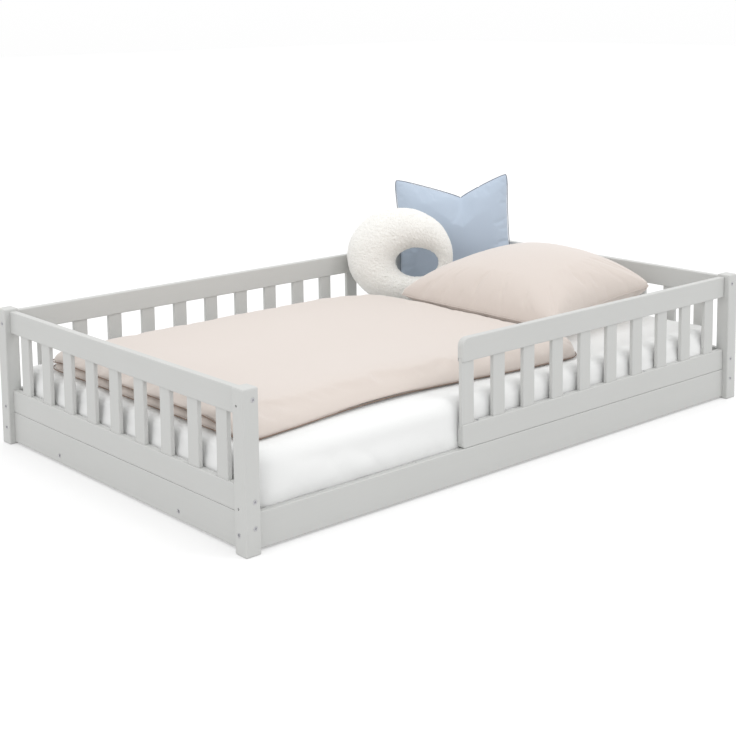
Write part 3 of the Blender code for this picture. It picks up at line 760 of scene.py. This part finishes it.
beyond = np.clip(np.abs(cube[:, :2]) - (np.array(half[:2]) - MATTRESS_CORNER), 0, None)
reach = beyond.max(axis=1)
way = beyond / np.maximum(np.linalg.norm(beyond, axis=1, keepdims=True), 1e-9)
inner = np.minimum(np.abs(cube[:, :2]), np.array(half[:2]) - MATTRESS_CORNER)
above = np.abs(cube[:, 2])
in_edge = np.clip(reach - (MATTRESS_CORNER - MATTRESS_EDGE), 0, None)
up_edge = np.clip(above - (half[2] - MATTRESS_EDGE), 0, None)
both = (in_edge > 0) & (up_edge > 0)
length = np.hypot(in_edge, up_edge)
round_in = np.where(both, MATTRESS_EDGE * in_edge / np.maximum(length, 1e-9), in_edge)
round_up = np.where(both, MATTRESS_EDGE * up_edge / np.maximum(length, 1e-9), up_edge)
reach = np.where(both, MATTRESS_CORNER - MATTRESS_EDGE + round_in, reach)
above = np.where(both, half[2] - MATTRESS_EDGE + round_up, above)
points = np.empty_like(cube)
points[:, :2] = np.sign(cube[:, :2]) * (inner + way * reach[:, None])
points[:, 2] = np.sign(cube[:, 2]) * above
points += np.array(centre)
# The front touches the board and the rail along it, and swells over the board in the way in.
entry_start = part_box("post_front_foot")[1].x
entry_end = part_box("guard_rail_lower")[0].x
board_face, board_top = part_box("board_front")[1].yz
at_front = smooth_step(bed_low.y + 0.10, bed_low.y, points[:, 1])
off_corners = smooth_step(entry_start, entry_start + CORNER_SWELL, points[:, 0])
off_corners *= smooth_step(-entry_start, -entry_start - CORNER_SWELL, points[:, 0])
in_entry = smooth_step(entry_start + 0.010, entry_start + 0.08, points[:, 0])
in_entry *= smooth_step(entry_end - 0.006, entry_end - 0.050, points[:, 0])
over_board = smooth_step(board_top, board_top + BULGE_RISE, points[:, 2])
below_edge = smooth_step(bed_high.z, bed_high.z - BULGE_RISE, points[:, 2])
out = (bed_low.y - board_face - BOARD_CLEARANCE) * off_corners * below_edge
out += ENTRY_BULGE * in_entry * over_board
points[:, 1] -= out * at_front
move_points(mattress.data, points)
cloth_map(mattress, points[:, :2] + points[:, 2:3])
mattress.data.materials.append(white_sheet)
under = 1 - smooth_step(bed_low.z + 0.01, bed_low.z + 0.05, points[:, 2])
let_fill(mattress, under, pressure=1.5, frames=12, most=0.004, slack=0.006)
points = points_of(mattress.data)
creases = ripple(points * np.array((1.0, 1.0, 0.45)), 9.0, 1) * CREASE_DEPTH
creases += ripple(points * np.array((1.0, 1.0, 0.2)), 26.0, 2) * FINE_CREASE_DEPTH
side = smooth_step(0.02, 0.0, half[1] - np.abs(points[:, 1]))
points[:, 1] += np.sign(points[:, 1]) * creases * side
points[:, 2] = np.minimum(points[:, 2], bed_high.z)
move_points(mattress.data, points)
smooth_faces(mattress, 1)
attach(mattress, "mattress")
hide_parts("mattress")


# The duvet: blush cotton, folded once, so two soft layers lie on each other. Each layer's edge
# is a seam with a narrow piped fold, and the upper layer rolls down over the lower at the front.
# The piping is coloured dark brown as painted shade, for the shadow in the cleft along each seam.
blush_cotton = finish_cotton(
    "blush_cotton",
    colour=(0.630, 0.565, 0.522, 1),
    shade=(0.580, 0.512, 0.465, 1),
    threads=1300.0,
    rough=0.78,
    sheen=0.45,
    relief=0.25,
)
# Painted shade: the piping's dark brown stands for the shadow in the cleft along the seam.
blush_piping_painted_shade = finish_cotton(
    "blush_piping_painted_shade",
    colour=(0.27, 0.195, 0.155, 1),
    shade=(0.22, 0.155, 0.120, 1),
    threads=1300.0,
    rough=0.85,
    sheen=0.10,
    relief=0.25,
)


def sewn_pad(name, columns, rows, skins, finish, size):
    """Two skins of cloth joined along their rim. skins(u, v) gives each skin's points."""
    u, v = np.meshgrid(np.linspace(-1, 1, columns + 1), np.linspace(-1, 1, rows + 1), indexing="ij")
    front, back = skins(u, v)
    front_index = np.arange(u.size).reshape(u.shape)
    inside = np.zeros(u.shape, bool)
    inside[1:-1, 1:-1] = True
    back_index = front_index.copy()
    back_index[inside] = u.size + np.arange(inside.sum())

    def quads(index):
        cells = (index[:-1, :-1], index[1:, :-1], index[1:, 1:], index[:-1, 1:])
        return np.stack(cells, -1).reshape(-1, 4)

    points = np.concatenate([front.reshape(-1, 3), back[inside]])
    faces = np.concatenate([quads(front_index), quads(back_index)[:, ::-1]])
    pad = new_piece(name, points.tolist(), faces.tolist(), finish)
    flat = np.stack([u * size[0] / 2, v * size[1] / 2], -1)
    cloth_map(pad, np.concatenate([flat.reshape(-1, 2), flat[inside]]))
    return pad, rim_of(front_index)


def rim_of(index):
    """The point numbers round a skin's rim, in order."""
    return np.concatenate([index[:-1, 0], index[-1, :-1], index[:0:-1, -1], index[0, :0:-1]])


def rounded_plan(u, v, low, high, radii):
    """Plan points of a rectangle whose corners are rounded, and the distances from its sides.

    Radii run from the low corner anticlockwise; the sides are low x, high x, low y and high y.
    """
    x = (low[0] + high[0]) / 2 + u * (high[0] - low[0]) / 2
    y = (low[1] + high[1]) / 2 + v * (high[1] - low[1]) / 2
    sides = (x - low[0], high[0] - x, y - low[1], high[1] - y)
    for radius, (sx, sy) in zip(radii, ((-1, -1), (1, -1), (1, 1), (-1, 1))):
        middle_x = (low[0] if sx < 0 else high[0]) - sx * radius
        middle_y = (low[1] if sy < 0 else high[1]) - sy * radius
        dx, dy = sx * (x - middle_x), sy * (y - middle_y)
        corner = (dx > 0) & (dy > 0)
        length = np.maximum(np.hypot(dx, dy), 1e-9)
        most = np.maximum(dx, dy)
        x = np.where(corner, middle_x + sx * dx / length * most, x)
        y = np.where(corner, middle_y + sy * dy / length * most, y)
    return x, y, sides


def dome(distance, width, soft=2.0):
    """Rises from 0 at a seam to 1 at width away from it; 2 is a quarter ellipse, more is softer."""
    t = np.clip(distance / width, 0.0, 1.0)
    return np.sqrt(1 - (1 - t) ** soft)


def welt(name, path, radius, finish, up=(0.0, 0.0, 1.0), sides=6):
    """A closed round edge, sewn along a seam."""
    path = np.asarray(path)
    ahead = np.roll(path, -1, 0) - np.roll(path, 1, 0)
    ahead /= np.linalg.norm(ahead, axis=1, keepdims=True)
    across = np.cross(ahead, np.array(up))
    across /= np.linalg.norm(across, axis=1, keepdims=True)
    lift = np.cross(across, ahead)
    angles = 2 * np.pi * np.arange(sides) / sides
    rings = path[:, None] + radius * (
        np.cos(angles)[None, :, None] * across[:, None] + np.sin(angles)[None, :, None] * lift[:, None]
    )
    count = len(path)
    piece = new_piece(name, rings.reshape(-1, 3).tolist(), closed_quads(count, sides), finish)
    face_outwards(piece)
    along = np.repeat(np.arange(count) * radius, sides)
    cloth_map(piece, np.stack([along, np.tile(angles * radius, count)], -1))
    return smooth_faces(piece)


duvet_low, duvet_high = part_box("duvet")
bed_level = bed_high.z
LAID_GAP = 0.0005  # between the sheet and what lies on it
SKIN_GAP = 0.001  # between the sheet and a pad's lower skin as it is drawn
UPPER_LAYER = 0.283  # where the upper layer lies on the lower one
PIPING = 0.0016
HEAD_REACH = 0.010  # the head edge lies under the pillow's lip
UPPER_CORNERS = (0.060, 0.090, 0.260, 0.085)  # radii, from the front foot corner anticlockwise
LOWER_CORNERS = (0.050, 0.080, 0.250, 0.080)
SKIN_THICKNESS = 0.002  # the least height between a layer's two skins
WAVE_HEIGHT = 0.004
PUFF_HEIGHT = 0.0018
FRONT_DRAW = 0.070  # how far the front edge is drawn back at most
FRONT_DRAW_AT = -0.42  # along the bed
FRONT_DRAW_SPAN = 0.50


def upper_seam(x, y):
    """Height of the upper layer's seam: it drops to the sheet along the front."""
    to_front = 1 - smooth_step(duvet_low.y + 0.03, duvet_low.y + 0.22, y)
    to_head = smooth_step(duvet_high.x - 0.25, duvet_high.x, x)
    to_back = smooth_step(duvet_high.y - 0.15, duvet_high.y, y)
    drop = np.maximum.reduce([to_front, 0.8 * to_head, 0.35 * to_back])
    return UPPER_LAYER + 0.004 - drop * (UPPER_LAYER + 0.004 - bed_level - 0.007)


def front_draw(x, y):
    """How far the front edge is drawn back from a straight line, most beside the guard's end."""
    bow = np.exp(-(((x - FRONT_DRAW_AT) / FRONT_DRAW_SPAN) ** 2))
    return FRONT_DRAW * bow * smooth_step(0.2, -0.55, y)


def upper_skins(u, v):
    high = (duvet_high.x + HEAD_REACH, duvet_high.y)
    x, y, sides = rounded_plan(u, v, duvet_low, high, UPPER_CORNERS)
    y = y + front_draw(x, y)
    inward = np.minimum.reduce(sides)
    seam = upper_seam(x, y)
    crown = duvet_high.z - 0.004 - seam
    waves = np.array([noise.noise(Vector((a * 2.1, b * 2.4, 0.3))) for a, b in zip(x.flat, y.flat)])
    puffs = np.array([noise.noise(Vector((a * 9.0, b * 4.0, 5.1))) for a, b in zip(x.flat, y.flat)])
    near_rim = smooth_step(0.0, 0.03, inward) * smooth_step(0.20, 0.06, inward)
    waves = waves.reshape(x.shape) * WAVE_HEIGHT * smooth_step(0.0, 0.15, inward)
    waves += puffs.reshape(x.shape) * PUFF_HEIGHT * near_rim
    foot, head, front, back = sides
    rise = dome(foot, 0.085, 2.6) * dome(head, 0.040)
    rise = rise * dome(front, 0.190, 3.0) * dome(back, 0.100, 2.6)
    top = seam + crown * rise - 0.003 * smooth_step(0.1, 0.4, inward) + waves
    below = np.maximum(seam - 0.006 * dome(inward, 0.02), bed_level + SKIN_GAP)
    below = np.maximum(below, bed_level + SKIN_GAP + 0.030 * smooth_step(0.01, 0.05, inward))
    return np.stack([x, y, top], -1), np.stack([x, y, np.minimum(below, top - SKIN_THICKNESS)], -1)


def lower_skins(u, v):
    low = (duvet_low.x - 0.003, duvet_low.y + 0.030)
    high = (duvet_high.x - 0.030, duvet_high.y - 0.012)
    x, y, sides = rounded_plan(u, v, low, high, LOWER_CORNERS)
    y = y + front_draw(x, y)
    inward = np.minimum.reduce(sides)
    seam = np.full_like(x, bed_level + 0.010)
    top = seam + (UPPER_LAYER - 0.002 - bed_level - 0.010) * dome(inward, 0.030)
    below = np.maximum(bed_level + SKIN_GAP, seam - 0.009 * dome(inward, 0.02))
    return np.stack([x, y, top], -1), np.stack([x, y, below], -1)


def rest_on_sheet(pad):
    points = points_of(pad.data)
    points[:, 2] = np.maximum(points[:, 2], bed_level + LAID_GAP)
    move_points(pad.data, points)


def rim_weights(pad, rim, firm):
    weights = np.zeros(len(pad.data.vertices))
    weights[rim] = firm
    return weights


duvet_size = (duvet_high.x - duvet_low.x, duvet_high.y - duvet_low.y)
duvet_upper, upper_rim = sewn_pad("duvet_upper_layer", 124, 104, upper_skins, blush_cotton, duvet_size)
upper_held = rim_weights(duvet_upper, upper_rim, 1.0)
let_fill(duvet_upper, upper_held, pressure=1.0, frames=14, most=0.006, slack=0.012)
rest_on_sheet(duvet_upper)
duvet_lower, lower_rim = sewn_pad("duvet_lower_layer", 84, 72, lower_skins, blush_cotton, duvet_size)
rest_on_sheet(duvet_lower)
for layer, rim, name in (
    (duvet_upper, upper_rim, "duvet_upper_piping"),
    (duvet_lower, lower_rim, "duvet_lower_piping"),
):
    smooth_faces(layer, 1)
    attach(layer, "duvet")
    # Each piping welt takes the dark piping finish, which is painted shade along the seam.
    piping = welt(name, points_of(layer.data)[rim], PIPING, blush_piping_painted_shade)
    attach(piping, "duvet")
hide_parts("duvet")


# The pillow: a large feather pillow in the same blush cotton, its head side propped up.
# Its sides draw in between the corners, and it is flat only where it lies on the sheet.
pillow_low, pillow_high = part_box("pillow")
PILLOW_SEAM = 0.0013
PILLOW_PULL = 0.12  # how much its sides draw in between the corners, as a share
PILLOW_TAPER = 0.12  # how much narrower it is at the head side, as a share
PILLOW_TUCK = 0.050  # how far its front corner at the head side draws in
PILLOW_CROWN = 0.134
PILLOW_BELLY = 0.105
PILLOW_FOOT_RISE = 0.070
PILLOW_HEAD_RISE = 0.124
PILLOW_LIP = 0.010  # the foot side reaches this far over the duvet's head edge
pillow_half = ((pillow_high.x - pillow_low.x) / 2, (pillow_high.y - pillow_low.y) / 2)
pillow_middle = ((pillow_high.x + pillow_low.x) / 2, (pillow_high.y + pillow_low.y) / 2)


def pillow_skins(u, v):
    headwards = (u + 1) / 2
    blunt = 1 - 0.045 * (u * v) ** 8
    x = pillow_middle[0] + pillow_half[0] * u * blunt * (1 - PILLOW_PULL * (1 - v * v) * headwards / 2)
    x -= PILLOW_TUCK * headwards * (1 - v) / 2 + PILLOW_LIP * (1 - headwards)
    y = 1 - PILLOW_PULL * (1 - u * u) - PILLOW_TAPER * headwards
    y = pillow_middle[1] + pillow_half[1] * v * blunt * y
    seam = bed_level + PILLOW_FOOT_RISE + (PILLOW_HEAD_RISE - PILLOW_FOOT_RISE) * headwards
    full = ((1 - u * u) * (1 - v * v)) ** 0.38
    top = seam + PILLOW_CROWN * full
    under_lip = smooth_step(0.0, 0.045, (u + 1) * pillow_half[0])
    below = np.maximum(bed_level + SKIN_GAP, seam - PILLOW_BELLY * full * under_lip)
    return np.stack([x, y, top], -1), np.stack([x, y, below], -1)


pillow, pillow_rim = sewn_pad(
    "pillow_feather", 84, 104, pillow_skins, blush_cotton, (2 * pillow_half[0], 2 * pillow_half[1])
)
pillow_held = rim_weights(pillow, pillow_rim, 0.6)
let_fill(pillow, pillow_held, pressure=4.0, frames=20, most=0.014, slack=0.013)
rest_on_sheet(pillow)
smooth_faces(pillow, 1)
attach(pillow, "pillow")
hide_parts("pillow")
pillow_seam = welt("pillow_seam", points_of(pillow.data)[pillow_rim], PILLOW_SEAM, blush_cotton)
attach(pillow_seam, "pillow")


# The ring cushion: a closed tube of cream teddy plush, fat on one side and thin on the other.
# It stands on the sheet across the corner, and its curly pile breaks up its outline.
FACING = math.radians(40.2)  # how far the two upright cushions turn from -Y towards -X
LEAN = math.radians(6.0)
RING_HEAD_GAP = 0.534  # from the ring's middle to the rails' inner face at the head
RING_BACK_GAP = 0.175
RING_HALF_W = 0.199
RING_HALF_H = 0.180
RING_DEPTH = 0.94  # of its tube, as a share of the tube's width
RING_HOLE = (0.0635, -0.027)  # middle of the hole, from the ring's own middle
RING_HOLE_HALF_W = 0.080
RING_HOLE_HALF_H = 0.055
rail_face_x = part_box("board_head")[0].x
rail_face_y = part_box("board_back")[0].y


def upright(head_gap, back_gap, half_height):
    """Turns a shape drawn in XZ, facing -Y, to its stand on the sheet, leaning back."""
    foot = Matrix.Translation((rail_face_x - head_gap, rail_face_y - back_gap, bed_level))
    lean = Matrix.Rotation(-LEAN, 4, "X")
    return foot @ Matrix.Rotation(-FACING, 4, "Z") @ lean @ Matrix.Translation((0, 0, half_height))


def stand_up(points, stand):
    turned = points @ np.array(stand)[:3, :3].T + np.array(stand)[:3, 3]
    turned[:, 2] = np.maximum(turned[:, 2], bed_level + LAID_GAP)
    return turned


plush, plush_tree, plush_shader = new_finish("cream_plush")
plush_place = add(plush_tree, "TexCoord").outputs["Object"]
PLUSH_TIPS = (0.90, 0.895, 0.87, 1.0)
PLUSH_SHADED_ROOTS = (0.80, 0.785, 0.74, 1.0)
curls = add(plush_tree, "TexVoronoi", {"Vector": plush_place, "Scale": 190.0}).outputs["Distance"]
fibres = add(
    plush_tree, "TexNoise", {"Vector": plush_place, "Scale": 420.0, "Detail": 4.0, "Distortion": 1.5}
).outputs["Fac"]
pile = math_of(plush_tree, "ADD", math_of(plush_tree, "MULTIPLY", curls, -0.9), fibres)
# Painted shade: where the pile is low between the curls, the colour turns towards the darker roots.
depth = math_of(plush_tree, "MULTIPLY", curls, 0.8)
plush_colour = blend_colours(plush_tree, depth, PLUSH_TIPS, PLUSH_SHADED_ROOTS)
plush_tree.links.new(plush_colour, plush_shader.inputs["Base Color"])
plush_tree.links.new(bump_from(plush_tree, pile, 0.6, 0.0022), plush_shader.inputs["Normal"])
plush_shader.inputs["Roughness"].default_value = 1.0
plush_shader.inputs["Sheen Weight"].default_value = 0.5
plush_shader.inputs["Sheen Roughness"].default_value = 0.6
plush_shader.inputs["Specular IOR Level"].default_value = 0.1

RING_AROUND = 380
RING_ACROSS = 150
CURL = 0.0085
PILE_ROOM = 0.002  # left for the pile, which stands out from the tube
PILE_HEIGHT = 0.0028
LUMP_HEIGHT = 0.003
around = 2 * np.pi * np.arange(RING_AROUND) / RING_AROUND
across = 2 * np.pi * np.arange(RING_ACROSS) / RING_ACROSS
a, t = np.meshgrid(around, across, indexing="ij")
outer_x, outer_z = RING_HALF_W * np.cos(a), RING_HALF_H * np.sin(a)
inner_x = RING_HOLE[0] + RING_HOLE_HALF_W * np.cos(a)
inner_z = RING_HOLE[1] + RING_HOLE_HALF_H * np.sin(a)
reach_x, reach_z = (outer_x - inner_x) / 2, (outer_z - inner_z) / 2
tube = np.hypot(reach_x, reach_z)
slim = 1 - PILE_ROOM / tube
ring = np.stack(
    [
        (outer_x + inner_x) / 2 + slim * reach_x * np.cos(t),
        slim * RING_DEPTH * tube * np.sin(t),
        (outer_z + inner_z) / 2 + slim * reach_z * np.cos(t),
    ],
    -1,
)
outward = np.stack([np.cos(t) * reach_x / tube, np.sin(t), np.cos(t) * reach_z / tube], -1)
flat_points = ring.reshape(-1, 3)
pile_height = []
for p in flat_points:
    spot = Vector(p) / CURL
    near = noise.voronoi(spot + Vector((noise.noise(spot), noise.noise(spot * 1.3), 0)) * 0.6)[0]
    pile_height.append(1.0 - 1.2 * near[0] + 0.35 * noise.noise(spot * 2.3))
pile_height = np.array(pile_height)[:, None]
lumps = ripple(flat_points, 14.0, 4)[:, None]
flat_points = flat_points + outward.reshape(-1, 3) * (PILE_HEIGHT * pile_height + LUMP_HEIGHT * lumps)
ring_cushion = new_piece(
    "plush_ring",
    stand_up(flat_points, upright(RING_HEAD_GAP, RING_BACK_GAP, RING_HALF_H)).tolist(),
    closed_quads(RING_AROUND, RING_ACROSS),
    plush,
)
face_outwards(ring_cushion)
smooth_faces(ring_cushion)
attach(ring_cushion, "ring_cushion")
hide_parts("ring_cushion")


# The dented cushion: a square scatter cushion in soft blue cotton, stood on its edge in the
# corner, with the dent that a hand chops in its top, so that its two corners stand up as ears.
blue_cotton = finish_cotton(
    "blue_cotton",
    colour=(0.47, 0.545, 0.645, 1),
    shade=(0.41, 0.485, 0.585, 1),
    threads=900.0,
    rough=0.85,
    sheen=0.35,
    relief=0.35,
)
blue_piping = finish_cotton(
    "blue_piping",
    colour=(0.20, 0.23, 0.29, 1),
    shade=(0.16, 0.19, 0.24, 1),
    threads=900.0,
    rough=0.85,
    sheen=0.20,
    relief=0.35,
)
CUSHION_SEAM = 0.0015
CUSHION_HEAD_GAP = 0.239
CUSHION_BACK_GAP = 0.166
CUSHION_HALF_W = 0.222
CUSHION_HALF_H = 0.2215
CUSHION_ROLL = math.radians(2.5)  # its right side stands higher
CUSHION_CROWN = 0.050
CUSHION_DENT = 0.088
CUSHION_DENT_AT = 0.15  # to the right of its middle, as a share of half its width
CUSHION_SIDE_PULL = 0.04
CUSHION_FOOT_PULL = 0.05


def dented_skins(u, v):
    blunt = 1 - 0.040 * (u * v) ** 10
    x = CUSHION_HALF_W * u * blunt * (1 - CUSHION_SIDE_PULL * (1 - v * v))
    to_side = np.where(u > CUSHION_DENT_AT, 1 - CUSHION_DENT_AT, 1 + CUSHION_DENT_AT)
    from_dent = np.abs(u - CUSHION_DENT_AT) / to_side
    upper = v * (CUSHION_HALF_H - v * CUSHION_DENT * (1 - from_dent**0.88))
    lower = v * CUSHION_HALF_H * (1 - CUSHION_FOOT_PULL * (1 - u * u))
    z = np.where(v > 0, upper, lower) * blunt
    full = CUSHION_CROWN * ((1 - u * u) * (1 - v * v)) ** 0.45
    pinch = 1 - 0.5 * np.exp(-((u - CUSHION_DENT_AT) / 0.16) ** 2) * smooth_step(0.1, 1.0, v)
    return np.stack([x, -full * pinch, z], -1), np.stack([x, full * pinch, z], -1)


dented, dented_rim = sewn_pad(
    "scatter_cushion", 80, 80, dented_skins, blue_cotton, (2 * CUSHION_HALF_W, 2 * CUSHION_HALF_H)
)
dented_held = rim_weights(dented, dented_rim, 0.7)
let_fill(dented, dented_held, pressure=4.0, frames=20, most=0.012, slack=0.02)
lift = CUSHION_HALF_W * math.sin(CUSHION_ROLL)
stand = upright(CUSHION_HEAD_GAP, CUSHION_BACK_GAP, CUSHION_HALF_H + lift)
stand = stand @ Matrix.Rotation(-CUSHION_ROLL, 4, "Y")
move_points(dented.data, stand_up(points_of(dented.data), stand))
smooth_faces(dented, 1)
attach(dented, "dented_cushion")
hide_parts("dented_cushion")
cushion_facing = tuple(np.array(stand)[:3, :3] @ np.array((0.0, -1.0, 0.0)))
dented_seam = welt(
    "scatter_cushion_seam",
    points_of(dented.data)[dented_rim],
    CUSHION_SEAM,
    blue_piping,
    cushion_facing,
)
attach(dented_seam, "dented_cushion")
